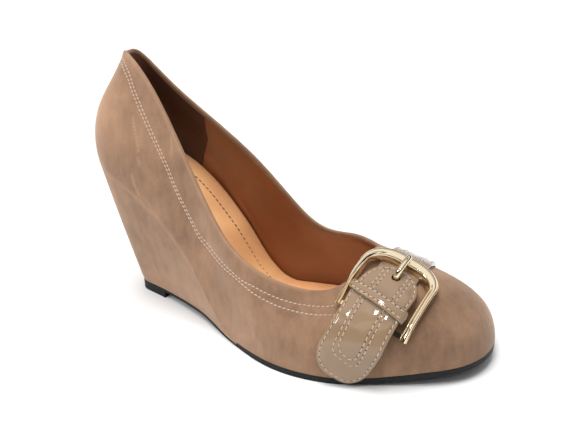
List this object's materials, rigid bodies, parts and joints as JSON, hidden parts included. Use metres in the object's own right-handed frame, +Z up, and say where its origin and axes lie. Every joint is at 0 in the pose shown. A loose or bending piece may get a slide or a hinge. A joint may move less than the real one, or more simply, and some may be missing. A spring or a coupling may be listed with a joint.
{
  "type": "wedge pump",
  "caption": "Right-foot women's pump on a covered wedge, open collar, rounded closed toe, wide strap with buckle over the vamp.",
  "frame": {"origin": "middle of the heel lift's underside, on the floor", "axes": "+Z up, +X from the heel to the toe along the foot, +Y to the big toe's side"},
  "size_m": [0.2174, 0.0888, 0.1358],
  "materials": {
    "suede": "soft brushed taupe suede nap",
    "patent": "taupe patent leather, high gloss coat, pale edges",
    "buckle_metal": "polished pale champagne gold plating",
    "sole": "matt black moulded sheet",
    "insole_leather": "smooth tan leather with dark edge stitching",
    "lining": "glossy brown lining leather",
    "thread": "pale cream sewing thread"
  },
  "bodies": {
    "root": {"outsole": "sole", "heel_lift": "sole", "wedge": "suede", "insole": "insole_leather", "upper": "suede", "strap": "patent", "strap_tab": "patent", "keeper": "patent", "buckle_frame": "buckle_metal", "buckle_prong": "buckle_metal"}
  },
  "joints": []
}
